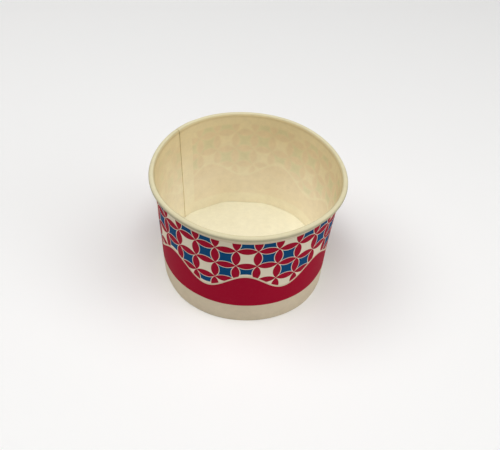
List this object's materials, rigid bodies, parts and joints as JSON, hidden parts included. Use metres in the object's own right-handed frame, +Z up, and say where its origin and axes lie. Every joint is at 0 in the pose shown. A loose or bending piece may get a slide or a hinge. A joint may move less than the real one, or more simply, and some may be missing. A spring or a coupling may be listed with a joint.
{
  "type": "paper dessert cup",
  "caption": "Round tapered paper cup for a dessert portion, with a rolled rim, a lapped side seam and a recessed bottom gripped in the wall's hem.",
  "frame": {"origin": "middle of the foot, on the surface that the cup stands on", "axes": "+Z up along the cup's axis, -Y towards the side that faces the viewer, with the side seam at the back left"},
  "size_m": [0.0909, 0.0907, 0.059],
  "materials": {
    "printed_board": "satin",
    "plain_board": "satin"
  },
  "bodies": {
    "root": {"side_wall": "printed_board", "bottom": "plain_board"}
  },
  "joints": []
}
